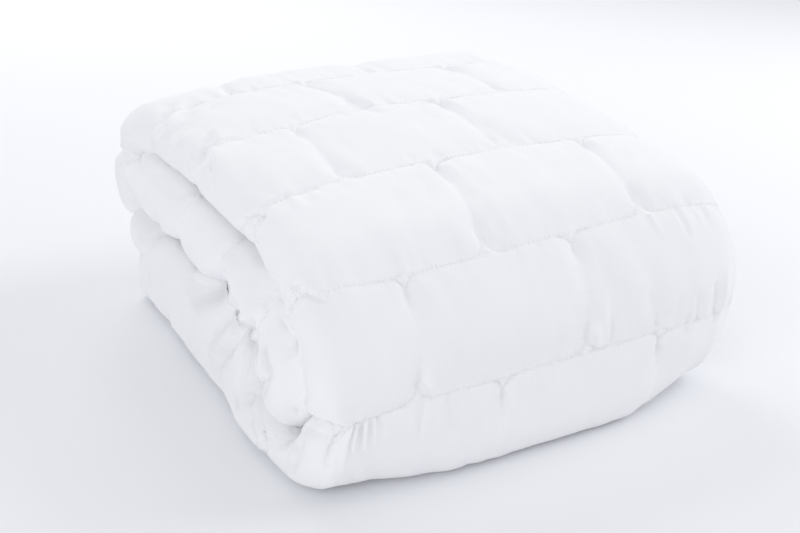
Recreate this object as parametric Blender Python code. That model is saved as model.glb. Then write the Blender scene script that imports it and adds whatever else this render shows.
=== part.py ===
"""Quilted mattress protector, folded into quarters across its width and then rolled flat into a bundle.

One closed solid. The strip of four plies is drawn once as a back-and-forth section, and
that section is lofted along the flat spiral in which the strip is rolled. Metres, +Z up.
The origin is the middle of the bundle's footprint, on the surface it rests on.
"""
import math

import bpy

# ---------------------------------------------------------------- driving sizes
PLY = 0.0092              # quilted ply: top cloth, wadding and backing, pressed by folding
GAP = 0.0010              # air between two plies of the strip
PLIES = 4                 # the width is folded in half twice
STRIP = PLIES * PLY + (PLIES - 1) * GAP
LEFT_X = -0.2025          # fold end of the bundle
RIGHT_X = 0.1990          # hem end of the bundle
QUILT_ROW = 0.1025        # one row of quilting along the strip
SEAM_START = 0.031        # first row seam, from the strip's outer end
SEAM_DIP = 0.085          # how much a row seam draws the strip together
SEAM_TUCK = 0.0035        # how far a row seam draws the fold ends in
OUTER_END_Y = 0.178       # where the strip's outer end lies, at the back
BEND_STEP = 23.0          # degrees of bend between two sections
ROW_SHARES = (0.0, 0.28, 0.72)   # sections in each row that shows, as shares of the row
CORE_SHARES = (0.0, 0.5)  # the same for the rows inside the roll

# ---------------------------------------------------------------- how the strip lies
# name, straight run or 0, turn in degrees, radius of the bend's middle,
# inset of the fold end and of the hem end, and share of the full thickness,
# all three at the close of this stretch
LIE = (
    ("bottom",      0.372, 0.0, 0.0,   -0.004, 0.004, 1.00),
    ("front foot",  0.0,   92.0, 0.0280, -0.003, 0.002, 1.00),
    ("front",       0.050, 0.0, 0.0,    0.000, 0.000, 1.00),
    ("front brow",  0.0,   76.0, 0.0700, 0.006, 0.000, 1.00),
    ("top",         0.322, 13.5, 0.0,   0.000, 0.002, 1.00),
    ("back, upper", 0.0,   88.5, 0.0640, 0.002, 0.006, 1.00),
    ("back, lower", 0.0,   90.0, 0.0692, 0.020, 0.006, 0.99),
    ("lower core",  0.294, 0.0, 0.0,    0.026, 0.010, 0.98),
    ("core foot",   0.0,   90.0, 0.0318, 0.006, 0.012, 0.98),
    ("core brow",   0.0,   80.0, 0.0306, -0.002, 0.012, 0.97),
    ("upper core",  0.294, 9.8, 0.0,    -0.002, 0.014, 0.95),
    ("core back",   0.0,   178.0, 0.0208, 0.020, 0.016, 0.90),
    ("inner end",   0.180, 0.0, 0.0,    0.040, 0.016, 0.86),
)
OUTER_STRETCHES = 6       # rows of the table before the roll goes inside itself
BOTTOM_CUTS = 3           # sections along the flat bottom stretch
# how the bundle sinks and narrows towards its two ends: place along X, share of
# the height in front and at the back, share of the depth in front and at the back
EASE = (
    (-0.2070, 0.865, 0.880, 0.960, 1.040),
    (-0.1900, 0.895, 0.900, 0.985, 1.035),
    (-0.1650, 0.930, 0.930, 0.995, 1.030),
    (-0.1300, 0.960, 0.960, 1.000, 1.020),
    (-0.0600, 0.990, 0.990, 1.005, 1.010),
    (0.0200,  1.000, 1.000, 1.005, 1.000),
    (0.1200,  0.995, 1.000, 1.000, 1.000),
    (0.1550,  0.965, 1.005, 0.980, 1.000),
    (0.1800,  0.915, 0.985, 0.925, 0.990),
    (0.2000,  0.830, 0.935, 0.850, 0.960),
)
EASE_FROM_Y = -0.16       # in front of this the front shares hold
EASE_TO_Y = 0.16          # behind this the back shares hold
# places along a ply where the section has points, as shares of its length
PLY_SHARES = (0.07, 0.22, 0.62, 0.90)
WHITE = (0.93, 0.94, 0.96, 1.0)


def between(table, place, column):
    """Straight-line reading of a table at one place."""
    if place <= table[0][0]:
        return table[0][column]
    for low, high in zip(table, table[1:]):
        if place <= high[0]:
            share = (place - low[0]) / (high[0] - low[0])
            return low[column] + share * (high[column] - low[column])
    return table[-1][column]


def walk():
    """Follow the strip's middle round the bundle.

    Returns one row per fine step: length so far, y, z, heading in radians,
    the two insets and the share of the full thickness.
    """
    rows = [(0.0, OUTER_END_Y, STRIP / 2, math.pi) + LIE[0][4:]]
    marks = []
    for name, run, turn, radius, *closing in LIE:
        length = run if radius == 0.0 else math.radians(turn) * radius
        count = max(8, math.ceil(length / 0.001))
        first = rows[-1]
        for step in range(1, count + 1):
            share = step / count
            middle = first[3] - math.radians(turn) * (step - 0.5) / count
            last = rows[-1]
            rows.append((
                last[0] + length / count,
                last[1] + length / count * math.cos(middle),
                last[2] + length / count * math.sin(middle),
                first[3] - math.radians(turn) * share,
                *(was + (becomes - was) * share for was, becomes in zip(first[4:], closing)),
            ))
        marks.append((name, first[0], rows[-1][0], turn))
    return rows, marks


def section_places(marks):
    """Lengths along the strip at which a section stands."""
    places = []
    for index, (name, start, end, turn) in enumerate(marks):
        if index == 0:
            places += [start + (end - start) * k / BOTTOM_CUTS for k in range(BOTTOM_CUTS)]
        elif turn > 20.0:
            count = math.ceil(turn / BEND_STEP)
            places += [start + (end - start) * k / count for k in range(count)]
        else:
            places.append(start)
            row = math.floor((start - SEAM_START) / QUILT_ROW)
            shares = CORE_SHARES if index > OUTER_STRETCHES else ROW_SHARES
            while SEAM_START + row * QUILT_ROW < end:
                for share in shares:
                    place = SEAM_START + (row + share) * QUILT_ROW
                    if start + 0.009 < place < end - 0.009:
                        places.append(place)
                row += 1
    places.append(marks[-1][2])
    return places


def ply_section():
    """Middle line of the folded ply: (x share, x offset, n, offset direction) rows.

    n is measured outward from the strip's middle. The share runs from 0 at the fold
    end to 1 at the hem end.
    """
    pitch = PLY + GAP
    levels = [STRIP / 2 - PLY / 2 - k * pitch for k in range(PLIES)]
    points = []

    def straight(level, shares, start_in, end_in):
        for share in shares:
            points.append((share, start_in * (1.0 - share) - end_in * share, level))

    def bend(share, centre, middle, radius, start, turn, count):
        for k in range(count + 1):
            angle = math.radians(start + turn * k / count)
            points.append((share, centre + radius * math.cos(angle),
                           middle + radius * math.sin(angle)))

    outer = 1.5 * pitch
    inner = 0.5 * pitch
    end_in = PLY / 2
    points.append((1.0, -0.0015, levels[3]))
    straight(levels[3], PLY_SHARES[::-1], outer + end_in, 0.0)
    bend(0.0, outer + end_in, (levels[0] + levels[3]) / 2, outer, -90.0, -180.0, 6)
    straight(levels[0], PLY_SHARES, outer + end_in, inner + end_in)
    bend(1.0, -inner - end_in, (levels[0] + levels[1]) / 2, inner, 90.0, -180.0, 3)
    straight(levels[1], PLY_SHARES[::-1], outer + end_in, inner + end_in)
    bend(0.0, outer + end_in, (levels[1] + levels[2]) / 2, inner, 90.0, 180.0, 3)
    straight(levels[2], PLY_SHARES, outer + end_in, 0.0)
    points.append((1.0, -0.0055, levels[2]))
    return points


def thickened(points, left, right):
    """Two sides of the ply, half a ply to either side of its middle line."""
    line = [(left + share * (right - left) + offset, n) for share, offset, n in points]
    sides = ([], [])
    for i, (x, n) in enumerate(line):
        before = line[max(i - 1, 0)]
        after = line[min(i + 1, len(line) - 1)]
        dx, dn = after[0] - before[0], after[1] - before[1]
        size = math.hypot(dx, dn)
        for side, way in zip(sides, (0.5, -0.5)):
            side.append((x - way * PLY * dn / size, n + way * PLY * dx / size))
    return sides


def settled(x, y, z):
    """Sink and narrow the bundle towards its ends; the bottom stays flat."""
    back = min(max((y - EASE_FROM_Y) / (EASE_TO_Y - EASE_FROM_Y), 0.0), 1.0)
    height = between(EASE, x, 1) * (1.0 - back) + between(EASE, x, 2) * back
    depth = between(EASE, x, 3 if y < 0.0 else 4)
    return (x, y * depth, z * height)


def centred(points):
    """Move the origin to the middle of the footprint; heights stay as they are."""
    shift = [(min(p[axis] for p in points) + max(p[axis] for p in points)) / 2 for axis in (0, 1)]
    print("shift", [round(v, 5) for v in shift])
    return [(x - shift[0], y - shift[1], z) for x, y, z in points]


def build_pad():
    rows, marks = walk()
    points = ply_section()
    verts = []
    faces = []
    count = len(points)
    places = section_places(marks)
    for place in places:
        row = next(row for row in rows if row[0] >= place - 1e-9)
        length, y, z, heading, fold_in, hem_in, thickness = row
        seam = math.cos(math.tau * (place - SEAM_START) / QUILT_ROW)
        dip = max(0.0, seam) if place > marks[0][2] + 0.02 else 0.0
        sides = thickened(points, LEFT_X + fold_in + SEAM_TUCK * dip,
                          RIGHT_X - hem_in - SEAM_TUCK * dip)
        for side in sides:
            for x, n in side:
                out = n * thickness * (1.0 - SEAM_DIP * dip)
                verts.append(settled(x, y - out * math.sin(heading), z + out * math.cos(heading)))
    verts = centred(verts)
    ring = 2 * count
    for k in range(len(places) - 1):
        a, b = k * ring, (k + 1) * ring
        for i in range(count - 1):
            faces.append((a + i + 1, b + i + 1, b + i, a + i))
            faces.append((a + count + i, b + count + i, b + count + i + 1, a + count + i + 1))
        faces.append((a, b, b + count, a + count))
        last = count - 1
        faces.append((a + count + last, b + count + last, b + last, a + last))
    for k, way in ((0, -1), (len(places) - 1, 1)):
        a = k * ring
        for i in range(count - 1):
            faces.append((a + i, a + i + 1, a + count + i + 1, a + count + i)[::way])
    mesh = bpy.data.meshes.new("quilted_pad")
    mesh.from_pydata(verts, [], faces)
    mesh.update()
    return mesh


def cloth_white():
    material = bpy.data.materials.new("pad_cloth")
    material.use_nodes = True
    shader = material.node_tree.nodes["Principled BSDF"]
    shader.inputs["Base Color"].default_value = WHITE
    shader.inputs["Roughness"].default_value = 0.85
    shader.inputs["Metallic"].default_value = 0.0
    return material


def main():
    for item in list(bpy.data.objects):
        bpy.data.objects.remove(item, do_unlink=True)
    collection = bpy.data.collections.new("folded_mattress_protector")
    bpy.context.scene.collection.children.link(collection)
    mesh = build_pad()
    mesh.materials.append(cloth_white())
    pad = bpy.data.objects.new("quilted_pad", mesh)
    collection.objects.link(pad)
    print("triangles", sum(len(p.vertices) - 2 for p in mesh.polygons))
    print("size", [round(v, 4) for v in pad.dimensions])


main()
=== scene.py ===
# %% [markdown]
# # A quilted mattress protector, folded and rolled flat
# The pad is two soft white cloths with wadding between, quilted together in long
# staggered cells. It is folded in half twice across its width, which leaves a strip of
# four plies, and the strip is rolled flat into a bundle. This first cell loads the packed
# model, which fixes every size, and bakes each part's place into its own mesh.

import bisect
import math

import bpy
import numpy as np
from mathutils import Matrix, Vector, kdtree


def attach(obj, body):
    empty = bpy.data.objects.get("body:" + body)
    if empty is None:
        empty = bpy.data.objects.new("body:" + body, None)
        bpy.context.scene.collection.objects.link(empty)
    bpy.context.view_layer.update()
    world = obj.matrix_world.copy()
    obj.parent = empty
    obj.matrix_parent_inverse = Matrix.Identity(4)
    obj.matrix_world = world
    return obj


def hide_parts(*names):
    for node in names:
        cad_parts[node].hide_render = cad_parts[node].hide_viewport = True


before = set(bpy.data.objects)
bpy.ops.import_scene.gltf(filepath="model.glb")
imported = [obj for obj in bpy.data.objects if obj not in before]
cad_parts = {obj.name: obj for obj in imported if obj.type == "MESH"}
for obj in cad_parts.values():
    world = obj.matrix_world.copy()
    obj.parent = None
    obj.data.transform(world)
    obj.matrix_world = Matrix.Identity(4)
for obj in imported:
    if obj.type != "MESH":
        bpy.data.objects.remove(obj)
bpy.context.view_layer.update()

# %% [markdown]
# ## How the strip lies
# Cloth is easiest to build in its own two measures: across the width and along the
# length. A fold is then only a rule that carries a point of the flat cloth to its place.
# The table below is the way round the bundle, the same one that the solid was made
# with. Each row is one stretch of the strip: a straight run, or a bend with its turn and
# radius, with the insets of both ends and the share of its thickness where it closes.

# %% The way round the bundle
PLY = 0.0092
GAP = 0.0010
PITCH = PLY + GAP
STRIP = 4 * PLY + 3 * GAP
LEFT_X, RIGHT_X = -0.2025, 0.1990
OUTER_END_Y = 0.178
FOOTPRINT_MIDDLE = (-0.00440, 0.00128)
WALK_STEP = 0.002
LIE = (
    # name          run    turn   radius  fold_in hem_in thickness
    ("bottom",      0.372, 0.0, 0.0,   -0.004, 0.004, 1.00),
    ("front foot",  0.0,   92.0, 0.0280, -0.003, 0.002, 1.00),
    ("front",       0.050, 0.0, 0.0,    0.000, 0.000, 1.00),
    ("front brow",  0.0,   76.0, 0.0700, 0.006, 0.000, 1.00),
    ("top",         0.322, 13.5, 0.0,   0.000, 0.002, 1.00),
    ("back, upper", 0.0,   88.5, 0.0640, 0.002, 0.006, 1.00),
    ("back, lower", 0.0,   90.0, 0.0692, 0.020, 0.006, 0.99),
    ("lower core",  0.294, 0.0, 0.0,    0.026, 0.010, 0.98),
    ("core foot",   0.0,   90.0, 0.0318, 0.006, 0.012, 0.98),
    ("core brow",   0.0,   80.0, 0.0306, -0.002, 0.012, 0.97),
    ("upper core",  0.294, 9.8, 0.0,    -0.002, 0.014, 0.95),
    ("core back",   0.0,   178.0, 0.0208, 0.020, 0.016, 0.90),
    ("inner end",   0.180, 0.0, 0.0,    0.040, 0.016, 0.86),
)
EASE = np.array((
    # x        height front, back  depth front, back
    (-0.2070, 0.865, 0.880, 0.960, 1.040),
    (-0.1900, 0.895, 0.900, 0.985, 1.035),
    (-0.1650, 0.930, 0.930, 0.995, 1.030),
    (-0.1300, 0.960, 0.960, 1.000, 1.020),
    (-0.0600, 0.990, 0.990, 1.005, 1.010),
    (0.0200,  1.000, 1.000, 1.005, 1.000),
    (0.1200,  0.995, 1.000, 1.000, 1.000),
    (0.1550,  0.965, 1.005, 0.980, 1.000),
    (0.1800,  0.915, 0.985, 0.925, 0.990),
    (0.2000,  0.830, 0.935, 0.850, 0.960),
))
EASE_FROM_Y, EASE_TO_Y = -0.16, 0.16


def walk_round():
    """Columns: length on the outer ply, y, z, heading, two insets, thickness."""
    rows = [[0.0, OUTER_END_Y, STRIP / 2, math.pi, *LIE[0][4:]]]
    marks = {}
    for name, run, turn, radius, *closing in LIE:
        turn = math.radians(turn)
        length = turn * radius if radius else run
        count = max(8, math.ceil(length / WALK_STEP))
        outer = 1.0 + turn * 1.5 * PITCH / length
        first = list(rows[-1])
        for step in range(1, count + 1):
            share, last = step / count, rows[-1]
            middle = first[3] - turn * (step - 0.5) / count
            rows.append([
                last[0] + outer * length / count,
                last[1] + length / count * math.cos(middle),
                last[2] + length / count * math.sin(middle),
                first[3] - turn * share,
                *(was + (now - was) * share for was, now in zip(first[4:], closing)),
            ])
        marks[name] = (first[0], rows[-1][0])
    return np.array(rows), marks


way, marks = walk_round()
LENGTH = float(way[-1, 0])
FOOT_Y = float(np.interp(marks["front foot"][0], way[:, 0], way[:, 1]))
print("strip length on its outer ply, m:", round(LENGTH, 3))


# %% The folded section, across the width
OUTER_BEND, INNER_BEND = 1.5 * PITCH, 0.5 * PITCH
UNDER_EDGE_BACK, THIRD_EDGE_BACK = 0.0015, 0.0055
LEVELS = [STRIP / 2 - PLY / 2 - k * PITCH for k in range(4)]
SPAN = RIGHT_X - LEFT_X
STRETCHES = (
    # name, length along the middle of the ply
    ("under ply", SPAN - OUTER_BEND - PLY / 2),
    ("outer fold", math.pi * OUTER_BEND),
    ("top ply", SPAN - OUTER_BEND - INNER_BEND - PLY),
    ("hem-end fold", math.pi * INNER_BEND),
    ("second ply", SPAN - OUTER_BEND - INNER_BEND - PLY),
    ("inner fold", math.pi * INNER_BEND),
    ("third ply", SPAN - OUTER_BEND - PLY / 2),
)
EDGES = np.concatenate([[0.0], np.cumsum([length for _, length in STRETCHES])])
WIDTH = float(EDGES[-1])
print("width of the flat cloth, m:", round(WIDTH, 3))


def section(across, fold_in, hem_in):
    """x, n and the outward direction of the middle of the ply at each place across."""
    left, right = LEFT_X + fold_in, RIGHT_X - hem_in
    x, n = np.zeros_like(across), np.zeros_like(across)
    dx, dn = np.zeros_like(across), np.zeros_like(across)
    outer_at = inner_at = left + OUTER_BEND + PLY / 2
    hem_at = right - INNER_BEND - PLY / 2
    ends = (
        (right - UNDER_EDGE_BACK, outer_at, LEVELS[3], -1.0),
        (outer_at, OUTER_BEND, (LEVELS[0] + LEVELS[3]) / 2, -90.0, -180.0),
        (outer_at, hem_at, LEVELS[0], 1.0),
        (hem_at, INNER_BEND, (LEVELS[0] + LEVELS[1]) / 2, 90.0, -180.0),
        (hem_at, inner_at, LEVELS[1], -1.0),
        (inner_at, INNER_BEND, (LEVELS[1] + LEVELS[2]) / 2, 90.0, 180.0),
        (inner_at, right - THIRD_EDGE_BACK, LEVELS[2], 1.0),
    )
    for k, end in enumerate(ends):
        here = (across >= EDGES[k]) & ((across < EDGES[k + 1]) | (k == len(ends) - 1))
        share = (across - EDGES[k]) / (EDGES[k + 1] - EDGES[k])
        if len(end) == 4:
            x = np.where(here, end[0] + (end[1] - end[0]) * share, x)
            n = np.where(here, end[2], n)
            dn = np.where(here, end[3], dn)
        else:
            angle = np.radians(end[3] + end[4] * share)
            out = -math.copysign(1.0, end[4])
            x = np.where(here, end[0] + end[1] * np.cos(angle), x)
            n = np.where(here, end[2] + end[1] * np.sin(angle), n)
            dx = np.where(here, out * np.cos(angle), dx)
            dn = np.where(here, out * np.sin(angle), dn)
    return x, n, dx, dn


# %% The near end
# Folds never lie as flat as the plies behind them. The table tells how the folded end
# swells out or sinks in along the strip, how much it flares, and how hard the rows
# of stitches pull it in. The flares fill the gaps between the turns. Nothing keeps one
# turn out of the next, so close to this end the turns run into each other.
NEAR_END = np.array((
    # along, out mm, flare on the inner and outer side, pull of the rows
    (0.0, 0.0, 1.2, 0.0, 0.1), (0.04, 0.0, 2.2, 0.0, 0.05), (0.08, 0.0, 2.6, 0.0, 0.05),
    (0.15, 0.0, 2.6, 0.0, 0.05), (0.18, 0.0, 2.9, 0.0, 0.05), (0.21, 0.0, 2.6, 0.0, 0.05),
    (0.25, 0.0, 2.3, 0.0, 0.05), (0.27, 2.0, 2.4, 0.0, 0.05), (0.285, 4.0, 1.8, 0.0, 0.1),
    (0.298, 6.0, -0.2, 0.0, 0.1), (0.34, 6.0, -0.35, 0.0, 0.15), (0.38, 3.0, -0.2, 0.0, 0.4),
    (0.42, 0.0, 0.0, 0.0, 0.6), (0.466, 0.0, 0.1, 0.0, 1.6), (0.52, -3.0, 0.6, 0.0, 0.5),
    (0.56, 0.0, 1.2, 0.0, 0.2), (0.61, -3.0, 0.7, 0.0, 0.4), (0.65, -4.0, 0.1, 0.0, 0.5),
    (0.76, -5.0, -0.05, 0.0, 0.35), (0.84, -4.0, 0.15, 0.0, 0.35), (0.91, -3.0, 0.4, 0.0, 0.4),
    (0.97, 1.0, 0.5, 0.0, 0.6), (1.06, 8.0, 0.2, 0.0, 0.8), (1.12, 14.0, 0.0, 0.0, 0.8),
    (1.16, 20.0, 0.1, 0.0, 0.6), (1.2, 14.0, 0.1, 0.0, 0.6), (1.26, 6.0, 0.1, 0.0, 0.6),
    (1.32, -4.0, 0.0, 0.0, 0.8), (1.42, 5.0, 0.0, 0.3, 0.8), (1.47, 20.0, 0.2, 0.6, 0.6),
    (1.5, 28.0, 0.2, 0.8, 0.6), (1.54, 22.0, 0.4, 0.6, 0.7), (1.58, 13.0, 0.4, 0.3, 0.9),
    (1.62, 10.0, 0.5, 0.1, 1.2), (1.68, 8.0, 0.5, 0.1, 1.1), (1.78, 8.0, 0.5, 0.2, 1.1),
    (1.86, 14.0, 0.5, 0.4, 1.1), (1.93, 18.0, 0.3, 0.4, 1.0), (2.0, 0.0, 0.0, 0.0, 0.8),
    (2.2, 0.0, 0.0, 0.0, 0.8),
))
# The creases of the folded end are laid on one plane across it, as the camera sees them.
# The slant is how far a line of sight runs back and up for each metre off that plane.
CREASE_PLANE = -0.200
SLANT_BACK, SLANT_UP = 3.3, -1.39
CREASE_DEPTH, CREASE_REACH = 1.25, 0.040
CREASED_MARGIN = 0.040
# How far in from an end, in metres, the tuck, the swelling and the flare die out.
FOLD_TUCK_REACH, HEM_TUCK_REACH, HEM_TUCK_SHARE = 0.024, 0.020, 0.35
OUT_REACH, FLARE_REACH = 0.050, 0.060
FOOT_RADIUS = STRIP / 2 + 0.0280
FOOT_SAG, MIDDLE_SAG = 0.08, 0.22
HEM_FOOT_TUCK, HEM_FOOT_BACK, CORNER_PULL = 0.036, 0.022, 0.012
HEM_FOOT_REACH, HEM_FOOT_HEIGHT = 0.085, 0.075
FOLD_FOOT_REACH, FOLD_FOOT_HEIGHT = 0.070, 0.080
FOOT_FORWARD = 0.15
END_CREASES = (
    # back mm, up mm, back mm, up mm, half width mm, lift mm
    (-128, 98, -42, 26, 5, -6), (-112, 98, -30, 36, 5, 3.5), (-96, 92, -28, 46, 6, -5.5),
    (-60, 96, 10, 66, 9, -5), (160, 68, 100, 100, 7, -4.5), (120, 36, 60, 32, 11, -2.5),
    (-82, 10, -80, 19, 3, -2.2), (-100, 7, -108, 15, 3, -2.5), (-120, 2, -112, 14, 3, -2.5),
    (-137, 0, -140, 24, 3, -1.8), (-190, 15, -216, 50, 4, -2.6), (-178, 112, -206, 118, 8, -4),
    (-188, 60, -194, 60, 4.5, -2.5), (90, 140, 30, 120, 12, -1.5), (236, 136, 150, 150, 5, -5),
    (-111, 26, -133, 52, 3.8, -5), (-133, 52, -147, 75, 4.2, -7.5), (-147, 75, -146, 92, 3.8, -5.5),
    (-92, 25, -123, 71, 3.5, -2.5), (-128, 78, -138, 92, 3, -2), (-33, 20, -112, 92, 4, -5),
    (-57, 31, -126, 93, 3, 3), (-211, 119, -217, 85, 7, -2.8), (-217, 85, -213, 61, 6, -2.8),
    (-187, 67, -197, 62, 3.5, -3), (-181, 119, -204, 111, 6, -3), (-184, 37, -180, 12, 4, -1.8),
    (-141, 22, -141, 0, 3, -1.2), (10, 70, -70, 108, 9, -6), (-39, 63, -90, 96, 6, -4.5),
    (-95, 15, -121, 22, 4, -1.6), (145, 30, 93, 9, 6, -2), (197, 106, 127, 92, 6, -3),
)
CLOTH_CREASES = (
    # across mm, along mm, across mm, along mm, half width mm, lift mm
    (465, 872, 445, 867, 6, -2.6), (451, 898, 426, 861, 7, -3.6), (426, 861, 409, 856, 6, -4),
    (445, 872, 420, 839, 5, -2.6), (423, 797, 418, 768, 3.8, -4.2), (418, 768, 410, 741, 3.8, -4.6),
    (429, 806, 416, 789, 4, -4), (416, 789, 396, 788, 4, -3.5), (429, 904, 416, 883, 5, -4.4),
    (436, 812, 428, 784, 3.4, -2.8), (432, 741, 426, 684, 9, -2.2), (441, 673, 429, 672, 2, -2.4),
    (429, 672, 420, 669, 2.2, -3), (420, 669, 416, 660, 2.4, -3.4), (419, 662, 416, 678, 2.6, -3.6),
    (416, 678, 408, 684, 2.6, -4), (408, 684, 396, 690, 2.8, -4), (424, 455, 401, 455, 2.6, -2.6),
    (416, 580, 417, 571, 2.2, -2.6), (417, 571, 425, 559, 2.2, -3.2), (412, 572, 402, 570, 2, -2.8),
    (402, 570, 392, 573, 2.4, -2.8), (418, 452, 425, 444, 2, -2.2), (425, 444, 424, 434, 2, -2.2),
    (425, 444, 430, 456, 2, -2), (489, 463, 486, 440, 3, -1.7), (497, 461, 495, 448, 2.9, 1),
    (509, 461, 512, 438, 3.2, -1.9), (520, 461, 521, 450, 2.9, -0.7), (754, 496, 764, 464, 3, -2.4),
    (733, 490, 740, 468, 3, -1.9), (727, 474, 728, 460, 2.4, -1.6), (684, 500, 695, 477, 4.4, -1.8),
    (695, 477, 707, 452, 3.6, -1.6), (624, 498, 630, 485, 5, -1), (630, 485, 640, 471, 4.4, -1.1),
    (642, 524, 651, 478, 5, -1.4), (634, 512, 641, 484, 4.6, 0.9), (653, 510, 662, 483, 5, -1.2),
    (546, 584, 555, 566, 5, -1.2), (555, 566, 563, 559, 4, -1.4), (485, 496, 489, 480, 4, -0.8),
    (489, 480, 497, 469, 3.2, -0.9), (748, 632, 721, 583, 6, -1.7), (734, 652, 712, 598, 6, -1.3),
    (728, 558, 728, 540, 3, -1.8), (746, 566, 744, 550, 3, -1.5), (578, 676, 569, 660, 5, -2.2),
    (569, 660, 567, 636, 5, -1.8), (648, 716, 650, 678, 6, -2.2), (572, 818, 576, 774, 6, -2.6),
    (542, 646, 532, 612, 4.6, -1.4), (514, 632, 505, 606, 4.6, -1.2), (415, 823, 399, 801, 4, -3),
    (438, 916, 421, 900, 6, -4), (441, 673, 466, 671, 2.2, -1.8), (424, 797, 448, 791, 2.4, -1.8),
    (422, 836, 408, 812, 4, 3), (428, 790, 418, 752, 3.4, 2.6),
)


def smooth_step(value, low, high):
    """From 0 at low to 1 at high, level at both ends."""
    share = np.clip((value - low) / (high - low), 0.0, 1.0)
    return share * share * (3 - 2 * share)


def strokes(across, up, table):
    """Lift, in metres, of soft troughs and ridges laid as short strokes."""
    across, up = 1000 * across, 1000 * up
    lift = np.zeros_like(across)
    for from_across, from_up, to_across, to_up, half_width, height in table:
        run_across, run_up = to_across - from_across, to_up - from_up
        beyond_across, beyond_up = across - from_across, up - from_up
        share = (beyond_across * run_across + beyond_up * run_up) / (run_across ** 2 + run_up ** 2)
        share = np.clip(share, 0.0, 1.0)
        gap = np.hypot(beyond_across - share * run_across, beyond_up - share * run_up)
        lift += height / 1000 * np.exp(-(gap / half_width) ** 2)
    return lift


def read_off(table, at):
    """Every column of a table after its first, at the given places."""
    return (np.interp(at, table[:, 0], table[:, k]) for k in range(1, table.shape[1]))


def foot_share(to_end, reach, height, y, z):
    """From 0 to 1: how much of an end's foot tuck a point takes."""
    low, forward = np.clip(1.0 - z / height, 0.0, 1.0), np.clip(-y / FOOT_FORWARD, 0.0, 1.0)
    return np.exp(-(to_end / reach) ** 2) * low * forward


def fold(across, along, lift, press=1.0, tuck=0.0):
    """Carry points of the flat cloth, lifted off the ply's middle, to their folded place."""
    y, z, heading, fold_in, hem_in, thick = read_off(way, along)
    out, flare_in, flare_out, pull = read_off(NEAR_END, along)
    x, n, dx, dn = section(across, fold_in, hem_in)
    to_fold, to_hem = x - LEFT_X - fold_in, RIGHT_X - hem_in - x
    # the ends: pulled in by the rows, then swollen out and flared
    x = (x + lift * dx + pull * tuck * np.exp(-(to_fold / FOLD_TUCK_REACH) ** 2)
         - HEM_TUCK_SHARE * tuck * np.exp(-(to_hem / HEM_TUCK_REACH) ** 2))
    x = x - out / 1000 * np.exp(-(to_fold / OUT_REACH) ** 2)
    n = (n + lift * dn) * thick * press
    flare = np.where(n < 0.0, flare_in, flare_out)
    n = n * (1 + flare * np.exp(-(to_fold / FLARE_REACH) ** 2))
    y, z = y - n * np.sin(heading), z + n * np.cos(heading)
    # the front foot sags forward and down, most in the middle of the bundle
    forward, down = np.maximum(FOOT_Y - y, 0.0), np.maximum(FOOT_RADIUS - z, 0.0)
    reach = np.hypot(forward, down)
    middle = smooth_step(to_fold, 0.03, 0.12) * smooth_step(to_hem, 0.03, 0.14)
    sag = 4 * (forward * down) ** 2 / np.maximum(reach, 1e-6) ** 4
    sag = sag * np.minimum(reach / FOOT_RADIUS, 1.0)
    sag = sag * (FOOT_SAG + (MIDDLE_SAG - FOOT_SAG) * middle)
    y, z = y - forward * sag, z - down * sag
    hem_foot = foot_share(to_hem, HEM_FOOT_REACH, HEM_FOOT_HEIGHT, y, z)
    fold_foot = foot_share(to_fold, FOLD_FOOT_REACH, FOLD_FOOT_HEIGHT, y, z)
    x, y = x - HEM_FOOT_TUCK * hem_foot, y + CORNER_PULL * fold_foot + HEM_FOOT_BACK * hem_foot
    # the whole bundle is eased towards its ends, as the solid is
    back = np.clip((y - EASE_FROM_Y) / (EASE_TO_Y - EASE_FROM_Y), 0.0, 1.0)
    low, high, front, rear = read_off(EASE, x)
    y = y * np.where(y < 0.0, front, rear) - FOOTPRINT_MIDDLE[1]
    z = np.maximum(z * (low * (1.0 - back) + high * back), 0.0)
    x = x - FOOTPRINT_MIDDLE[0]
    outermost = (across > EDGES[1] - CREASED_MARGIN) & (across < EDGES[2] + CREASED_MARGIN)
    slant = CREASE_PLANE - x
    creases = strokes(y + SLANT_BACK * slant, z + SLANT_UP * slant, END_CREASES)
    x = x - CREASE_DEPTH * creases * np.exp(-(to_fold / CREASE_REACH) ** 2) * outermost
    return np.stack([x, y, z], axis=-1)


# %% [markdown]
# ## Quilting pattern
# The needle lines run along the strip as rounded square waves. Each line steps half a
# cell sideways at every row, and neighbouring lines step in opposite directions, so
# they meet along the short sides of the cells and part along the long sides. That
# leaves long cells laid like bricks. A stitched pad is never quite even, so the table
# gives the crossings that show best, in millimetres of the flat cloth. The rest of the
# cloth follows a plain grid, with even steps across it and the listed rows along it.

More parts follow.
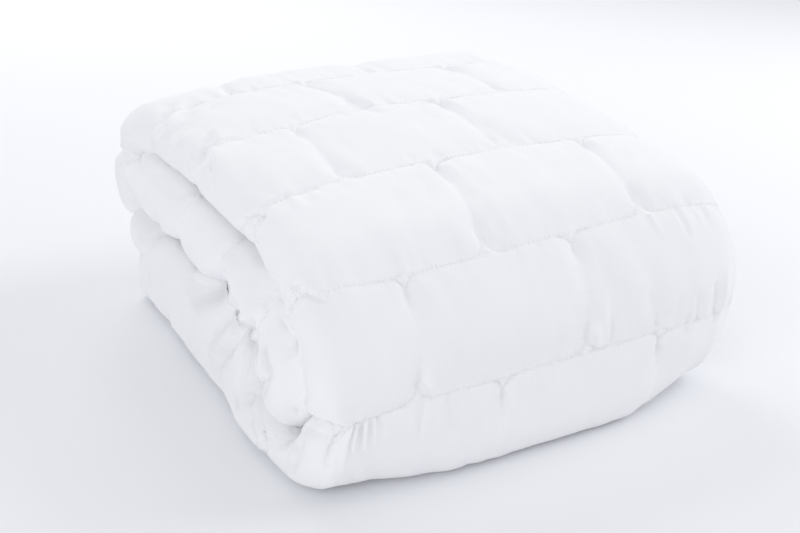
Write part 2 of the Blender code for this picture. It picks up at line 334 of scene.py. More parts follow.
# %% Needle lines
HALF_CELL = 0.0720
ROW = 0.1070
EVEN_ACROSS = 0.4235
FIRST_ROW = -5
ROW_LINES = np.array((
    -0.069, 0.038, 0.145, 0.252, 0.359, 0.466, 0.560, 0.670, 0.790, 0.899, 1.005, 1.110,
    1.215, 1.320, 1.420, 1.490, 1.615, 1.708, 1.797, 1.935, 2.035, 2.140, 2.250,
))
ROW_NUMBERS = np.arange(len(ROW_LINES)) + FIRST_ROW
CORNER = 0.0130
UPRIGHT_POINTS, LEVEL_POINTS, CORNER_POINTS = 12, 8, 9
CROSSING_SPREAD, EVEN_WEIGHT = 0.42, 0.04
TILE_STEP = 0.0006
CROSSINGS = (
    # half cell, row, across mm, along mm
    (0, 0, 424, 462), (1, 0, 484, 466), (2, 0, 555, 466),
    (3, 0, 629, 466), (4, 0, 701, 468), (5, 0, 806, 468),
    (0, 1, 413, 566), (1, 1, 482, 556), (2, 1, 549, 555),
    (3, 1, 621, 558), (4, 1, 692, 561), (5, 1, 806, 562),
    (0, 2, 404, 668), (1, 2, 495, 672), (2, 2, 568, 671),
    (3, 2, 637, 670), (4, 2, 709, 669), (5, 2, 806, 672),
    (0, 3, 402, 790), (1, 3, 503, 785), (2, 3, 577, 796),
    (3, 3, 643, 790), (4, 3, 719, 788), (5, 3, 806, 790),
    (0, 4, 402, 900), (1, 4, 500, 900), (2, 4, 560, 899),
    (3, 4, 643, 899), (4, 4, 716, 898), (5, 4, 806, 898),
)


def cloth_place(a, b):
    """From half cells and rows to metres across and along the cloth."""
    a, b = np.asarray(a, float), np.asarray(b, float)
    across, along, weight = np.zeros_like(a), np.zeros_like(b), np.full_like(a, EVEN_WEIGHT)
    for cell, row, across_mm, along_mm in CROSSINGS:
        near = np.exp(-((a - cell) ** 2 + (b - row) ** 2) / (2 * CROSSING_SPREAD ** 2))
        across += near * (across_mm / 1000 - EVEN_ACROSS - HALF_CELL * cell)
        along += near * (along_mm / 1000 - ROW_LINES[row - FIRST_ROW])
        weight += near
    across = EVEN_ACROSS + HALF_CELL * a + across / weight
    along = np.interp(b, ROW_NUMBERS, ROW_LINES) + along / weight
    return np.clip(across, 0.0, WIDTH), np.clip(along, 0.0, LENGTH)


def needle_line(n, first_row, last_row, apart=0.010):
    """One rounded square wave in half cells and rows, with its own even steps."""
    corner_a, corner_b = CORNER / HALF_CELL, CORNER / ROW
    quarter = np.linspace(0.0, math.pi / 2, CORNER_POINTS)
    a, b = [], []
    for row in range(first_row, last_row):
        here = n if (n + row) % 2 else n + 1
        step = 1 if here == n else -1
        upright, after = here + step * apart, here + step * (1 - apart)
        a += [np.full(UPRIGHT_POINTS, upright), upright + step * corner_a * (1 - np.cos(quarter))]
        b += [np.linspace(row + corner_b, row + 1 - corner_b, UPRIGHT_POINTS, endpoint=False)]
        b += [row + 1 - corner_b * (1 - np.sin(quarter))]
        level = np.linspace(upright + step * corner_a, after - step * corner_a, LEVEL_POINTS + 2)
        a += [level[1:-1]]
        b += [np.full(LEVEL_POINTS, row + 1.0)]
        a += [after - step * corner_a * (1 - np.sin(quarter))]
        b += [row + 1 + corner_b * (1 - np.cos(quarter))]
    return np.concatenate(a), np.concatenate(b)


def evenly(points, step):
    """Points at even steps of length along a line of points."""
    points = np.asarray(points, float)
    length = np.concatenate([[0.0], np.cumsum(np.linalg.norm(np.diff(points, axis=0), axis=1))])
    marks = np.linspace(0.0, length[-1], max(2, int(round(length[-1] / step)) + 1))
    columns = [np.interp(marks, length, points[:, k]) for k in range(points.shape[1])]
    return np.stack(columns, axis=1), marks


# One tile of the pattern, two half cells by two rows, with a margin all round.
tile = []
for n in range(-2, 4):
    a, b = needle_line(n, -2, 4)
    points, run = evenly(np.stack([a * HALF_CELL, b * ROW], axis=1), TILE_STEP)
    keep = (abs(points[:, 0] - HALF_CELL) < 1.6 * HALF_CELL)
    keep &= abs(points[:, 1] - ROW) < 1.4 * ROW
    tile.append(np.column_stack([points, run])[keep])
tile = np.concatenate(tile)
seam_tree = kdtree.KDTree(len(tile))
for index, (x, y, run) in enumerate(tile):
    seam_tree.insert((x, y, 0.0), index)
seam_tree.balance()


a, b = needle_line(0, 0, 2)
TILE_RUN = float(evenly(np.stack([a * HALF_CELL, b * ROW], axis=1), TILE_STEP)[1][-1])


def seam_at(a, b):
    """Distance to the nearest needle line, and the place along that line, in metres."""
    x, y = np.mod(a, 2.0) * HALF_CELL, np.mod(b, 2.0) * ROW
    found = [seam_tree.find((u, v, 0.0)) for u, v in zip(x, y)]
    run = tile[[hit[1] for hit in found], 2] + TILE_RUN * np.floor(b / 2.0)
    return np.array([hit[2] for hit in found]), run


def row_distance(b):
    """Distance along the cloth to the nearest row of stitches."""
    return abs(b - np.round(b)) * ROW


def short_side_gap(a, b):
    """Distance across to the nearest short side of a cell, where two lines meet."""
    from_side = a - np.mod(np.floor(b), 2.0) - 1.0
    return abs(from_side - 2.0 * np.round(from_side / 2.0)) * HALF_CELL


# %% [markdown]
# ## Relief
# Where the needle goes through, the two cloths and the wadding are pulled down to a
# couple of millimetres, and between the lines the wadding lifts them again: steeply
# beside the thread, then hardly at all. The thread also gathers the cloth, so short
# wrinkles stand square to the long seams and die out within a couple of centimetres.

# %% Relief helpers
NOISE_TABLE = 64


def lattice_noise(x, y, seed):
    """Smooth noise from -1 to 1 with one bump per unit."""
    rng = np.random.default_rng(seed)
    table = rng.uniform(-1.0, 1.0, (NOISE_TABLE, NOISE_TABLE))
    i, j = np.floor(x).astype(int), np.floor(y).astype(int)
    u, v = x - i, y - j
    u, v = u * u * (3 - 2 * u), v * v * (3 - 2 * v)

    def pick(p, q):
        return table[np.mod(p, NOISE_TABLE), np.mod(q, NOISE_TABLE)]

    low = pick(i, j) * (1 - u) + pick(i + 1, j) * u
    high = pick(i, j + 1) * (1 - u) + pick(i + 1, j + 1) * u
    return low * (1 - v) + high * v


SEAM_HALF = 0.0011
PUFF_STEEP, STEEP_REACH = 0.0024, 0.0023
PUFF_SOFT, SOFT_REACH = 0.0029, 0.017
SIDE_DIP, SIDE_REACH = 0.0032, 0.0062
CROSSING_REACH, CROSSING_STEEP = 0.019, 0.0036
ROW_REACH, SIDE_WIDTH = 0.026, 0.008
GATHER_HEIGHT, SIDE_WAVE_HEIGHT = 0.0021, 0.0012
UNEVEN_HEIGHT, DRAG_HEIGHT = 0.0011, 0.0010
FULL_LIFT = SEAM_HALF + PUFF_STEEP + PUFF_SOFT


def valley(a, b, distance):
    """How far the cloth lies under its full height beside the needle lines."""
    row_gap = row_distance(b)
    side_gap = short_side_gap(a, b)
    beside = np.exp(-(side_gap / SIDE_WIDTH) ** 2) * smooth_step(row_gap, 0.004, 0.014)
    near_row = np.exp(-(row_gap / ROW_REACH) ** 2)
    crossing = np.exp(-(side_gap / CROSSING_REACH) ** 2 - (row_gap / CROSSING_REACH) ** 2)
    crossing = crossing * smooth_step(a, 0.1, 0.6)
    tight = 1.0 + 0.9 * lattice_noise(a * HALF_CELL / 0.028, np.round(b) * 3.1 + 0.5, 13)
    steep = PUFF_STEEP * ((0.15 * tight + 0.10 * beside) * np.exp(-distance / STEEP_REACH)
                          + 0.80 * crossing * np.exp(-distance / CROSSING_STEEP))
    soft = PUFF_SOFT * np.exp(-np.hypot(distance, 0.0045 * beside) / SOFT_REACH)
    dip = SIDE_DIP * (0.50 + 0.95 * near_row) * np.exp(-(side_gap / SIDE_REACH) ** 2)
    dip = dip * smooth_step(row_gap, 0.004, 0.018)
    # from row 0 to row 1 the short sides dip less, and below row 0 hardly anything sinks
    low_front = smooth_step(row_gap, 0.016, 0.034) * ((b > 0.0) & (b < 1.0))
    under_front = 1.0 - 0.9 * smooth_step(-b, 0.15, 0.40)
    return (steep + soft) * under_front + dip * (1 - 0.6 * low_front) * under_front


def gathers(a, b, distance):
    """Short wrinkles square to the long seams, and long soft ones beside the short sides."""
    x, y = a * HALF_CELL, b * ROW
    from_row = (b - np.round(b)) * ROW
    side = np.where(from_row > 0.0, 1.0, 0.0)
    row = np.round(b)
    reach = 0.008 + 0.010 * (1 + lattice_noise(x / 0.013, row * 3.7 + side * 9.1, 5))
    lean = 0.25 * lattice_noise(x / 0.05, row * 5.3 + side * 2.9, 6)
    place = x + lean * from_row
    wave = lattice_noise(place / 0.0050, row * 7.3 + side * 4.7, 7)
    wave = wave + 0.6 * lattice_noise(place / 0.0105, row * 2.1 + side * 6.1, 8)
    strength = 0.60 + 0.40 * lattice_noise(x / 0.06, row * 1.3 + side * 3.3, 9)
    fade = np.exp(-abs(from_row) / reach) * (1.0 - np.exp(-distance / 0.0012))
    side_gap = short_side_gap(a, b)
    upright = np.round(a)
    across_side = (a - upright) * HALF_CELL + 0.12 * from_row
    long_wave = lattice_noise(across_side / 0.0085 + upright * 5.1, y / 0.075 + upright * 1.3, 10)
    beside = np.exp(-(side_gap / 0.030) ** 2) * (1 - np.exp(-side_gap / 0.004))
    calm = np.where(b < 0.0, 0.45, 0.75)
    return GATHER_HEIGHT * wave * strength * fade * calm + SIDE_WAVE_HEIGHT * long_wave * beside


PUCKERS = (
    # half cell, row, length mm, reach sideways mm, height mm
    (-0.03, 0, -30, 2.6, 1.9), (0.14, 0, -40, 2.8, 2.1), (0.25, 0, -38, 2.4, 2),
    (0.37, 0, -34, 2.4, 1.9), (0.50, 0, -20, 2.2, 1.2), (4.05, 1, -26, 2.6, 1.5),
    (4.47, 1, -26, 2.4, 1.8), (4.60, 1, -24, 2.2, 1.8), (4.80, 1, -28, 2.6, 1.3),
    (4.06, 0, 30, 2.8, 1.5), (4.44, 0, 28, 2.6, 1.7), (4.65, 0, 44, 3.2, 2.5),
    (4.84, 0, 30, 2.6, 1.4), (3.20, 0, 60, 5, 1.3), (3.42, 0, 50, 5, 1),
    (0.30, 1, 16, 2.6, 0.8), (2.40, 1, 15, 2.4, 0.7), (0.45, 2, -26, 3, 1),
    (0.62, 2, -22, 2.8, 0.9), (2.70, 2, 30, 3.6, 0.9), (1.70, 3, -30, 3.4, 0.9),
)


def puckers(a, b):
    """The strongest wrinkles, each laid from its seam as listed."""
    lift = np.zeros_like(a)
    for cell, row, length, sideways, height in PUCKERS:
        out = (b - row) * ROW * 1000 / length
        gap = (a - cell) * HALF_CELL * 1000
        width = sideways * (0.75 + 0.5 * np.clip(out, 0, 1))
        shape = smooth_step(out, 0.0, 0.10) * np.clip(1 - out, 0, 1) ** 0.8
        near = np.exp(-(gap / width) ** 2) - 0.55 * np.exp(-((abs(gap) - 1.7 * width) / width) ** 2)
        lift += height / 1000 * shape * near
    return lift


def relief(a, b, distance, depth=1.0):
    """Lift of the face cloth over the middle of the ply."""
    x, y = a * HALF_CELL, b * ROW
    soft = 1.0 - np.exp(-distance / 0.010)
    uneven = UNEVEN_HEIGHT * lattice_noise(x / 0.045, y / 0.060, 11)
    drag = lattice_noise((x + 0.22 * y) / 0.015, (y - 0.15 * x) / 0.060, 12)
    uneven = uneven + DRAG_HEIGHT * drag
    sunk = FULL_LIFT - depth * valley(a, b, distance)
    return sunk + uneven * soft + gathers(a, b, distance) + puckers(a, b)


# %% [markdown]
# ## One cloth mesh for the whole pad
# The pad is one closed surface: the face cloth, the back cloth and the hem between
# them. Its grid is laid in the pattern's own measures, so grid lines run along the
# seams. Cells are halved again and again, in either direction, until they are as small
# as that place needs: fine where the outermost ply shows and round the folds of the
# near end, coarse between the plies. A cell beside smaller ones takes their corners
# into its own outline, so that the surface has no cracks.

# %% Cells of the grid
UNITS_A, UNITS_B = 64, 80
BASE = 16
ACROSS, ALONG, BOTH = 0, 1, slice(None)
A_FROM, A_TO = (round((end - EVEN_ACROSS) / HALF_CELL * UNITS_A) for end in (0.0, WIDTH))
B_FROM, B_TO = (
    round(float(np.interp(end, ROW_LINES, ROW_NUMBERS)) * UNITS_B) for end in (0.0, LENGTH))
FINE_BAND, PUCKER_BAND = 0.0042, 0.015


def wanted_size(side, a0, a1, b0, b1):
    """Widest cell allowed at each place, in units across and along."""
    a, b = (a0 + a1) / 2 / UNITS_A, (b0 + b1) / 2 / UNITS_B
    across = EVEN_ACROSS + HALF_CELL * a
    along = np.interp(b, ROW_NUMBERS, ROW_LINES)
    across_true, along_true = cloth_place(a, b)
    half_a, half_b = (a1 - a0) / 2 / UNITS_A * HALF_CELL, (b1 - b0) / 2 / UNITS_B * ROW
    sizes = np.full((2, len(a)), float(BASE))

    def near(value, low, high, half):
        return (value + half > low) & (value - half < high)

    def cap(which, where, most):
        sizes[which] = np.where(where, np.minimum(sizes[which], most), sizes[which])

    for name, run, turn, radius, *closing in LIE:
        if radius:
            cap(ALONG, near(along, *marks[name], half_b), 8.0)
    for low, high in ((EDGES[1], EDGES[2]), (EDGES[3], EDGES[4]), (EDGES[5], EDGES[6])):
        cap(ACROSS, near(across, low, high, half_a), 4.0)
    if side == "back":
        return sizes
    fold_end = near(across, EDGES[1] - 0.030, EDGES[2] + 0.030, half_a)
    cap(BOTH, fold_end, 4.0)
    creased = near(across, EDGES[1] - 0.012, EDGES[2] + 0.024, half_a)
    creased &= near(along, 0.0, 0.42, half_b) | near(along, 1.48, 1.95, half_b)
    cap(BOTH, creased, 2.0)
    cap(ALONG, near(across, EDGES[3] - 0.012, EDGES[4], half_a), 8.0)
    shows = near(across, EDGES[1] - 0.008, EDGES[3] + 0.006, half_a)
    shows &= near(along, 0.370, 1.180, half_b)
    cap(BOTH, shows, 4.0)
    fine = shows & (along < 1.02)
    row_gap = np.maximum(row_distance(b) - half_b, 0.0)
    upright_gap = np.maximum(short_side_gap(a, b) - half_a, 0.0)
    cap(BOTH, fine & (row_gap < PUCKER_BAND), 2.0)
    cap(ALONG, (fine | fold_end) & (row_gap < FINE_BAND), 1.0)
    cap(ACROSS, fine & (upright_gap < FINE_BAND), 1.0)
    for across0, along0, across1, along1, half_width, lift in CLOTH_CREASES:
        edge = 1.5 * half_width
        sides = (min(across0, across1) - edge) / 1000, (max(across0, across1) + edge) / 1000
        ends = (min(along0, along1) - edge) / 1000, (max(along0, along1) + edge) / 1000
        here = near(across_true, *sides, half_a) & near(along_true, *ends, half_b)
        cap(BOTH, here, 1.0 if half_width < 2.9 else 2.0 if half_width < 4.5 else 4.0)
    pleated = (a > 4.0) & (a < 4.95) & (((b > 0.0) & (b < 0.42)) | ((b > 0.72) & (b < 1.0)))
    cap(ACROSS, pleated, 1.0)
    cap(BOTH, fine & (row_gap < CORNER + 0.002) & (upright_gap < CORNER + 0.002), 1.0)
    return sizes


def halved(side):
    """Corners a0, a1, b0, b1 of all cells of one side, in units."""
    def cuts(low, high):
        inner = np.arange(math.ceil(low / BASE) * BASE, high, BASE)
        return np.unique(np.concatenate([[low], inner, [high]]))
    a_cuts, b_cuts = cuts(A_FROM, A_TO), cuts(B_FROM, B_TO)
    a0, b0 = (grid.ravel() for grid in np.meshgrid(a_cuts[:-1], b_cuts[:-1], indexing="ij"))
    a1, b1 = (grid.ravel() for grid in np.meshgrid(a_cuts[1:], b_cuts[1:], indexing="ij"))
    cells = np.stack([a0, a1, b0, b1], axis=1)
    done = []
    while len(cells):
        size_a, size_b = wanted_size(side, *cells.T)
        wide = (cells[:, 1] - cells[:, 0] > size_a) & (cells[:, 1] - cells[:, 0] > 1)
        tall = (cells[:, 3] - cells[:, 2] > size_b) & (cells[:, 3] - cells[:, 2] > 1)
        done.append(cells[~wide & ~tall])
        # neighbours need not be cut alike: outlines() takes in the corners of both
        halves = []
        for chosen, start in ((wide, 0), (~wide & tall, 2)):
            first, second = cells[chosen], cells[chosen]
            middle = (first[:, start] + first[:, start + 1]) // 2
            first[:, start + 1], second[:, start] = middle, middle
            halves += [first, second]
        cells = np.concatenate(halves)
    return np.concatenate(done)


def outlines(cells):
    """Vertex places in units, and for each cell its outline with its neighbours' corners."""
    corners = np.concatenate([cells[:, [i, j]] for i in (0, 1) for j in (2, 3)])
    places = np.unique(corners, axis=0)
    number = {(a, b): k for k, (a, b) in enumerate(places.tolist())}
    on_column, on_row = {}, {}
    for a, b in places.tolist():
        on_column.setdefault(a, []).append(b)
        on_row.setdefault(b, []).append(a)
    for line in (*on_column.values(), *on_row.values()):
        line.sort()

    def between(line, low, high):
        return line[bisect.bisect_left(line, low):bisect.bisect_right(line, high)]

    faces = []
    for a0, a1, b0, b1 in cells.tolist():
        ring = [(a, b0) for a in between(on_row[b0], a0, a1)][:-1]
        ring += [(a1, b) for b in between(on_column[a1], b0, b1)][:-1]
        ring += [(a, b1) for a in reversed(between(on_row[b1], a0, a1))][:-1]
        ring += [(a0, b) for b in reversed(between(on_column[a0], b0, b1))][:-1]
        faces.append([number[place] for place in ring])
    return places, faces


def rim(places):
    """Vertices round the border, in order, with their distance round it."""
    number = {tuple(place): k for k, place in enumerate(places.tolist())}
    wide, tall = A_TO - A_FROM, B_TO - B_FROM
    round_at = {}
    for a, b in number:
        if b == B_FROM and a < A_TO:
            round_at[a, b] = a - A_FROM
        elif a == A_TO and b < B_TO:
            round_at[a, b] = wide + b - B_FROM
        elif b == B_TO and a > A_FROM:
            round_at[a, b] = wide + tall + A_TO - a
        elif a == A_FROM:
            round_at[a, b] = 2 * wide + tall + B_TO - b
    ring = sorted(round_at, key=round_at.get)
    return [number[place] for place in ring], [round_at[place] for place in ring]


def zipped(first, first_at, second, second_at, around):
    """Triangles between two rings whose steps differ."""
    faces, i, j = [], 0, 0
    first, second = first + first[:1], second + second[:1]
    first_at, second_at = first_at + [around], second_at + [around]
    while i < len(first) - 1 or j < len(second) - 1:
        more_first, more_second = i < len(first) - 1, j < len(second) - 1
        step_first = not more_second or (more_first and first_at[i + 1] <= second_at[j + 1])
        if step_first and more_second and more_first and first_at[i + 1] == second_at[j + 1]:
            faces.append([first[i + 1], first[i], second[j], second[j + 1]])
            i, j = i + 1, j + 1
        elif step_first:
            faces.append([first[i + 1], first[i], second[j]])
            i += 1
        else:
            faces.append([first[i], second[j], second[j + 1]])
            j += 1
    return faces


# %% Lay the grid
face_places, face_faces = outlines(halved("face"))
back_places, back_faces = outlines(halved("back"))
print("face cloth cells:", len(face_faces), " back cloth cells:", len(back_faces))

# %% [markdown]
# ## From flat cloth to the folded bundle
# Each grid corner is read off the pattern, lifted by the relief and carried round the
# bundle. Three things happen on the way. The stack of plies is pressed a little thinner
# along each row of stitches. The folds at the near end are pulled in where a row runs
# over them, which leaves one round puff per row, each a bit different. And the ply that
# carries the weight is flat where it meets the floor.

# %% Place every corner
END_TUCK, END_BELLY = 0.0085, 0.003
ROW_PRESS = 0.05
RIM_ROUND = 0.006
INNER_FULLNESS = 0.60


def placed(places, side, raised=0.0):
    """Folded places of grid corners, and their place beside the nearest needle line."""
    a, b = places[:, 0] / UNITS_A, places[:, 1] / UNITS_B
    across, along = cloth_place(a, b)
    distance, run = seam_at(a, b)
    past_fold = smooth_step(across, EDGES[1] - 0.03, EDGES[1])
    outer_ply = past_fold * (1 - smooth_step(across, EDGES[3], EDGES[3] + 0.01))
    round_side = smooth_step(along, 0.36, 0.38) * (1 - smooth_step(along, 1.16, 1.20))
    fold_end = past_fold * (1 - smooth_step(across, EDGES[2], EDGES[2] + 0.03))
    fullness = INNER_FULLNESS + 0.40 * np.maximum(outer_ply * round_side, fold_end)
    pull = np.interp(along, NEAR_END[:, 0], NEAR_END[:, 4])
    depth = 1.0 - fold_end * (1.0 - np.clip(pull, 0.0, 1.0))
    if side == "face":
        lift = relief(a, b, distance, depth) + strokes(across, along, CLOTH_CREASES)
    else:
        lift = valley(a, b, distance) - FULL_LIFT
    lift = lift * (fullness if side == "face" else INNER_FULLNESS)
    to_rim = np.minimum.reduce([across, WIDTH - across, along, LENGTH - along])
    lift = lift * np.sqrt(np.clip(1 - (1 - np.clip(to_rim / RIM_ROUND, 0, 1)) ** 2, 0.0, 1.0))
    row_gap = row_distance(b)
    press = 1.0 - ROW_PRESS * np.exp(-(row_gap / 0.016) ** 2)
    row_tuck = END_TUCK * (1 + 0.4 * lattice_noise(np.round(b) * 1.9, np.full_like(b, 0.5), 21))
    row = np.floor(b)
    belly = END_BELLY * lattice_noise(row * 2.3, np.full_like(b, 0.5), 22)
    belly = belly * np.sin(np.pi * (b - row))
    tuck = row_tuck * np.exp(-row_gap / 0.011) + belly
    beside = np.exp(-(short_side_gap(a, b) / 0.006) ** 2) * smooth_step(row_gap, 0.006, 0.014)
    off_seam = np.hypot(distance, 0.0030 * beside)
    return fold(across, along, lift + raised, press, tuck), np.stack([run, off_seam], axis=1)


face_points, face_seams = placed(face_places, "face")
back_points, back_seams = placed(back_places, "back")

# %% Join the two cloths along the hem
def add_object(name, data):
    made = bpy.data.objects.new(name, data)
    bpy.context.scene.collection.objects.link(made)
    return made


face_rim, face_at = rim(face_places)
back_rim, back_at = rim(back_places)
around = 2 * (A_TO - A_FROM) + 2 * (B_TO - B_FROM)
offset = len(face_points)
hem_faces = zipped(face_rim, face_at, [k + offset for k in back_rim], back_at, around)
pad_faces = face_faces + [[k + offset for k in reversed(face)] for face in back_faces] + hem_faces
pad_mesh = bpy.data.meshes.new("pad")
pad_mesh.from_pydata(np.concatenate([face_points, back_points]).tolist(), [], pad_faces)
pad_mesh.update()
pad = add_object("pad", pad_mesh)
pad_mesh.shade_smooth()
cloth_uv = pad_mesh.uv_layers.new(name="cloth")
all_places = np.concatenate([face_places, back_places])
flat_across, flat_along = cloth_place(all_places[:, 0] / UNITS_A, all_places[:, 1] / UNITS_B)
corner_vertex = np.zeros(len(pad_mesh.loops), np.int32)
pad_mesh.loops.foreach_get("vertex_index", corner_vertex)
flat = np.stack([flat_across, flat_along], axis=1)[corner_vertex]
cloth_uv.data.foreach_set("uv", flat.astype(np.float32).ravel())
seam_uv = pad_mesh.uv_layers.new(name="seam")
seams = np.concatenate([face_seams, back_seams])[corner_vertex]
seam_uv.data.foreach_set("uv", seams.astype(np.float32).ravel())
pad_mesh.calc_loop_triangles()
print("pad triangles:", len(pad_mesh.loop_triangles))

# %% [markdown]
# ## White cloth
# The cloth is white brushed microfibre. It is matt, with a faint sheen at grazing
# angles, a weave too fine to see as threads, and a little unevenness where the wadding
# shows through.

# %% Shader helpers
STITCH = 0.0038
WEAVE, WEAVE_HEIGHT, NAP_HEIGHT = 0.00062, 0.00002, 0.00007
TOOTH_HEIGHT, TOOTH_REACH = 0.00020, 0.0022


class Socket:
    """Wraps a shader output so that it can be used in plain arithmetic."""

    def __init__(self, tree, output):
        self.tree, self.output = tree, output

    def math(self, operation, *others):
        made = self.tree.nodes.new("ShaderNodeMath")
        made.operation = operation
        for slot, value in zip(made.inputs, (self, *others)):
            if isinstance(value, Socket):
                self.tree.links.new(value.output, slot)
            else:
                slot.default_value = value
        return Socket(self.tree, made.outputs[0])

    def __add__(self, other): return self.math("ADD", other)
    def __mul__(self, other): return self.math("MULTIPLY", other)


def node(tree, kind, settings=None, **values):
    """Add one node, and set or link its sockets by name, or by number as _0, _1."""
    made = tree.nodes.new(kind)
    for name, value in (settings or {}).items():
        setattr(made, name, value)
    for name, value in values.items():
        slot = made.inputs[int(name[1:])] if name[0] == "_" else made.inputs[name.replace("_", " ")]
        if isinstance(value, Socket):
            tree.links.new(value.output, slot)
        elif isinstance(value, bpy.types.NodeSocket):
            tree.links.new(value, slot)
        else:
            slot.default_value = value
    return made


# %% Cloth material
def cloth_material():
    material = bpy.data.materials.new("brushed white microfibre")
    material.use_nodes = True
    tree = material.node_tree
    tree.nodes.clear()
    uv = node(tree, "ShaderNodeUVMap", {"uv_map": "cloth"})
    soft = node(tree, "ShaderNodeTexNoise", Vector=uv.outputs[0], Scale=38.0, Detail=3.0)
    nap = node(tree, "ShaderNodeTexNoise", Vector=uv.outputs[0], Scale=1900.0, Detail=2.0)
    split = node(tree, "ShaderNodeSeparateXYZ", Vector=uv.outputs[0])
    warp = (Socket(tree, split.outputs[0]) * (2 * math.pi / WEAVE)).math("SINE")
    weft = (Socket(tree, split.outputs[1]) * (2 * math.pi / WEAVE)).math("SINE")
    weave = warp * weft * WEAVE_HEIGHT + Socket(tree, nap.outputs[0]) * NAP_HEIGHT
    seam = node(tree, "ShaderNodeUVMap", {"uv_map": "seam"})
    seam_split = node(tree, "ShaderNodeSeparateXYZ", Vector=seam.outputs[0])
    along_seam, off_seam = Socket(tree, seam_split.outputs[0]), Socket(tree, seam_split.outputs[1])
    tooth = (along_seam * (2 * math.pi / STITCH)).math("COSINE")
    nearness = (off_seam * off_seam * (-1.0 / TOOTH_REACH ** 2)).math("EXPONENT")
    height = weave + tooth * nearness * TOOTH_HEIGHT
    bump = node(tree, "ShaderNodeBump", Height=height, Strength=1.0, Distance=1.0)
    tone = node(tree, "ShaderNodeMix", {"data_type": "RGBA"}, _0=Socket(tree, soft.outputs[0]))
    tone.inputs[6].default_value = (0.925, 0.927, 0.948, 1.0)
    tone.inputs[7].default_value = (0.955, 0.955, 0.970, 1.0)
    shader = node(tree, "ShaderNodeBsdfPrincipled",
                  Base_Color=tone.outputs[2], Normal=bump.outputs[0])
    shader.inputs["Roughness"].default_value = 0.92
    shader.inputs["Sheen Weight"].default_value = 0.25
    shader.inputs["Sheen Roughness"].default_value = 0.6
    shader.inputs["Specular IOR Level"].default_value = 0.2
    node(tree, "ShaderNodeOutputMaterial", Surface=shader.outputs[0])
    return material


white_cloth = cloth_material()
pad_mesh.materials.append(white_cloth)

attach(pad, "root")
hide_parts("quilted_pad")

# %% [markdown]
# ## Stitches
# The quilting thread is a white polyester twist. What shows of each stitch is a short
# plump dash that lies in the bottom of the seam and dives into the cloth at both ends.
# The needle lines are laid on the cloth as bare edges, and Geometry Nodes turns them
# into curves, cuts them to the stitch length and sets a small capsule on each point,
# turned along the line. The tree ends with real geometry, not instances.

# %% Needle lines on the cloth
THREAD = 0.00075
STITCH_SIZES = {"Stitch": STITCH, "Dash": STITCH * 0.72, "Thread": THREAD}
TWIST_HEIGHT = 0.00004
SHORTEST_RUN = 4
THREAD_RAISE = 0.00020
CLOSED_SIDE = 0.017
SHOWS_ACROSS = (EDGES[1] + 0.020, EDGES[3] + 0.002)
SHOWS_ALONG = (0.385, 1.130)


def stitched_lines():
    """Runs of points along the needle lines where the outermost ply shows."""
    runs = []
    for n in range(-1, 7):
        a, b = needle_line(n, -1, 7)
        pattern = evenly(np.stack([a * HALF_CELL, b * ROW], axis=1), STITCH / 2)[0]
        a, b = pattern[:, 0] / HALF_CELL, pattern[:, 1] / ROW
        across, along = cloth_place(a, b)
        shows = (across > SHOWS_ACROSS[0]) & (across < SHOWS_ACROSS[1])
        shows &= (along > SHOWS_ALONG[0]) & (along < SHOWS_ALONG[1])
        shows &= row_distance(b) < CLOSED_SIDE
        points = placed(np.stack([a * UNITS_A, b * UNITS_B], axis=1), "face", THREAD_RAISE)[0]
        ends = np.flatnonzero(np.diff(np.concatenate([[0], shows.astype(int), [0]])))
        runs += [points[low:high] for low, high in zip(ends[::2], ends[1::2])
                 if high - low > SHORTEST_RUN]
    return runs


runs = stitched_lines()
starts = np.cumsum([0] + [len(run) for run in runs])
line_edges = [(k, k + 1) for low, high in zip(starts[:-1], starts[1:])
              for k in range(low, high - 1)]
line_mesh = bpy.data.meshes.new("needle lines")
line_mesh.from_pydata(np.concatenate(runs).tolist(), line_edges, [])
lines = add_object("stitches", line_mesh)
print("runs of stitches:", len(runs))


# %% Thread material and stitch tree
def thread_material():
    material = bpy.data.materials.new("white polyester thread")
    material.use_nodes = True
    tree = material.node_tree
    shader = tree.nodes["Principled BSDF"]
    place = node(tree, "ShaderNodeTexCoord")
    twist = node(tree, "ShaderNodeTexWave", {"bands_direction": "DIAGONAL"},
                 Vector=place.outputs["Object"], Scale=900.0)
    height = Socket(tree, twist.outputs["Fac"]) * TWIST_HEIGHT
    bump = node(tree, "ShaderNodeBump", Height=height, Strength=1.0, Distance=1.0)
    tree.links.new(bump.outputs[0], shader.inputs["Normal"])
    shader.inputs["Base Color"].default_value = (0.955, 0.957, 0.968, 1.0)
    shader.inputs["Roughness"].default_value = 0.55
    return material


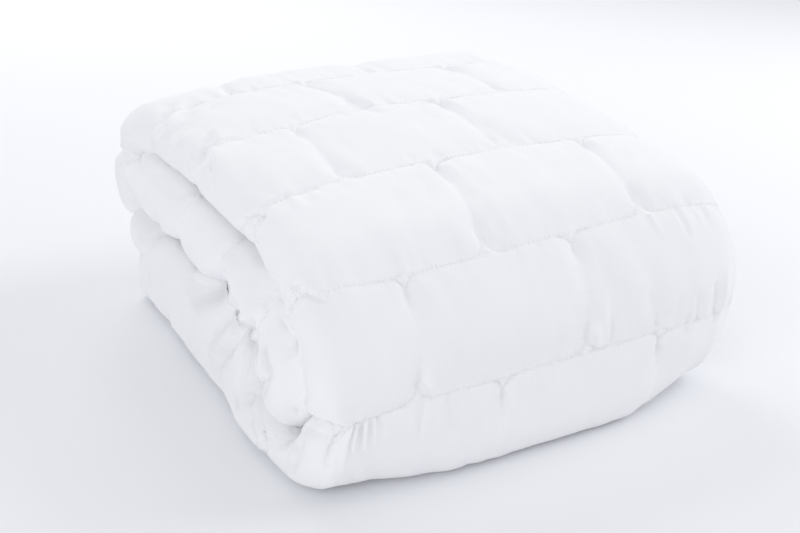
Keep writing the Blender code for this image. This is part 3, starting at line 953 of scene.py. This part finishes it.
def stitch_tree(material):
    """Curves cut to the stitch length, with a capsule on each point along the line."""
    tree = bpy.data.node_groups.new("thread stitches", "GeometryNodeTree")
    sockets = {}
    tree.interface.new_socket("Geometry", in_out="INPUT", socket_type="NodeSocketGeometry")
    for name, value in STITCH_SIZES.items():
        socket = tree.interface.new_socket(name, in_out="INPUT", socket_type="NodeSocketFloat")
        socket.default_value = value
        sockets[name] = socket.identifier
    tree.interface.new_socket("Geometry", in_out="OUTPUT", socket_type="NodeSocketGeometry")
    given, result = tree.nodes.new("NodeGroupInput"), tree.nodes.new("NodeGroupOutput")
    curves = node(tree, "GeometryNodeMeshToCurve", Mesh=given.outputs["Geometry"])
    cut = node(tree, "GeometryNodeResampleCurve", {"mode": "LENGTH"},
               Curve=curves.outputs[0], Length=given.outputs["Stitch"])
    tangent = node(tree, "GeometryNodeInputTangent")
    turned = node(tree, "FunctionNodeAlignRotationToVector", {"axis": "X"},
                  Vector=tangent.outputs[0])
    thread = given.outputs["Thread"]
    size = node(tree, "ShaderNodeCombineXYZ", X=given.outputs["Dash"], Y=thread, Z=thread)
    ball = node(tree, "GeometryNodeMeshUVSphere", Segments=6, Rings=4, Radius=0.5)
    ball_turned = node(tree, "GeometryNodeTransform", Geometry=ball.outputs[0],
                       Rotation=(0.0, math.pi / 2, 0.0))
    set_on = node(tree, "GeometryNodeInstanceOnPoints", Points=cut.outputs[0],
                  Instance=ball_turned.outputs[0], Rotation=turned.outputs[0],
                  Scale=size.outputs[0])
    real = node(tree, "GeometryNodeRealizeInstances", Geometry=set_on.outputs[0])
    smooth = node(tree, "GeometryNodeSetShadeSmooth", Geometry=real.outputs[0])
    dressed = node(tree, "GeometryNodeSetMaterial", Geometry=smooth.outputs[0], Material=material)
    tree.links.new(dressed.outputs[0], result.inputs["Geometry"])
    return tree, sockets


white_thread = thread_material()
tree, sockets = stitch_tree(white_thread)
modifier = lines.modifiers.new("thread stitches", "NODES")
modifier.node_group = tree
for name, value in STITCH_SIZES.items():
    modifier[sockets[name]] = value
evaluated = lines.evaluated_get(bpy.context.evaluated_depsgraph_get())
stitch_mesh = bpy.data.meshes.new_from_object(evaluated)
lines.modifiers.clear()
lines.data = stitch_mesh
stitch_mesh.name = "stitches"
bpy.data.meshes.remove(line_mesh)
stitch_mesh.calc_loop_triangles()
print("stitch triangles:", len(stitch_mesh.loop_triangles))

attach(lines, "root")

# %% [markdown]
# ## Floor, light and camera
# A plain pale floor and a pale surround, with three big soft lamps: the key on the right,
# one behind, and a weaker fill on the left of the front. The camera looks at the corner
# between the near end and the rounded front.

# %% Stage
floor_mesh = bpy.data.meshes.new("floor")
FLOOR = 6
floor_corners = [(-FLOOR, -FLOOR, 0), (FLOOR, -FLOOR, 0), (FLOOR, FLOOR, 0), (-FLOOR, FLOOR, 0)]
floor_mesh.from_pydata(floor_corners, [], [(0, 1, 2, 3)])
floor = add_object("floor", floor_mesh)
floor_paint = bpy.data.materials.new("pale floor")
floor_paint.use_nodes = True
floor_shader = floor_paint.node_tree.nodes["Principled BSDF"]
floor_shader.inputs["Base Color"].default_value = (0.90, 0.91, 0.93, 1.0)
floor_shader.inputs["Roughness"].default_value = 0.9
floor_mesh.materials.append(floor_paint)

world = bpy.data.worlds.new("pale surround")
world.use_nodes = True
world.node_tree.nodes["Background"].inputs[0].default_value = (0.955, 0.962, 1.0, 1.0)
world.node_tree.nodes["Background"].inputs[1].default_value = 0.66
bpy.context.scene.world = world
bpy.context.scene.view_settings.view_transform = "Standard"


def soft_lamp(name, place, aim, size, watts, colour=(1.0, 1.0, 1.0)):
    data = bpy.data.lights.new(name, "AREA")
    data.shape, data.size, data.energy, data.color = "SQUARE", size, watts, colour
    lamp = add_object(name, data)
    lamp.location = place
    lamp.rotation_euler = (Vector(aim) - Vector(place)).to_track_quat("-Z", "Y").to_euler()


soft_lamp("key", (2.0, -0.5, 1.45), (0.0, 0.0, 0.1), 1.5, 19.0)
soft_lamp("back", (0.2, 2.4, 2.0), (0.0, 0.6, 0.0), 2.0, 26.0)
soft_lamp("fill", (-1.9, -1.2, 0.8), (-0.1, 0.0, 0.1), 1.8, 11.0)

camera_data = bpy.data.cameras.new("camera")
camera_data.sensor_width = 36.0
camera_data.lens = 45.9
CAMERA_PLACE = (-0.4301, -0.7602, 0.42)
camera = add_object("camera", camera_data)
aim, pitch, roll = math.radians(29.2), math.radians(22.5), math.radians(0.5)
ahead = math.cos(pitch)
forward = Vector((math.sin(aim) * ahead, math.cos(aim) * ahead, -math.sin(pitch)))
level = Vector((math.cos(aim), -math.sin(aim), 0.0))
upward = level.cross(forward)
right = level * math.cos(roll) + upward * math.sin(roll)
top = upward * math.cos(roll) - level * math.sin(roll)
turned = Matrix((right, top, -forward)).transposed()
camera.matrix_world = Matrix.Translation(CAMERA_PLACE) @ turned.to_4x4()
bpy.context.scene.camera = camera
